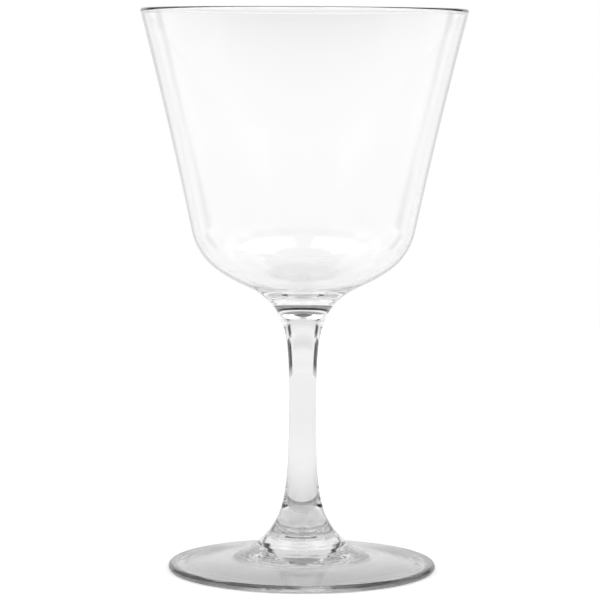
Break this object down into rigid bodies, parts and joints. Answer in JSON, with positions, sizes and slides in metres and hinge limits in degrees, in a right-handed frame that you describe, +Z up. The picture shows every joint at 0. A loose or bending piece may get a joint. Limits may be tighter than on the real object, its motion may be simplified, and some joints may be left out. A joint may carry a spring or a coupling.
{
  "type": "cocktail glass",
  "caption": "Clear stemmed cocktail glass: a flared bowl with a tight shoulder and shallow floor, welded to a slim waisted stem on a round foot.",
  "frame": {"origin": "middle of the flat ring that the foot rests on, on the axis of the glass, at the level of the table", "axes": "+Z up along the axis of foot, stem and bowl. The glass is round about +Z, so +X and +Y are free"},
  "size_m": [0.08, 0.08, 0.138],
  "materials": {
    "clear_glass": "clear colourless glass, fire polished"
  },
  "bodies": {
    "root": {"bowl": "clear_glass", "stem": "clear_glass", "foot": "clear_glass"}
  },
  "joints": []
}
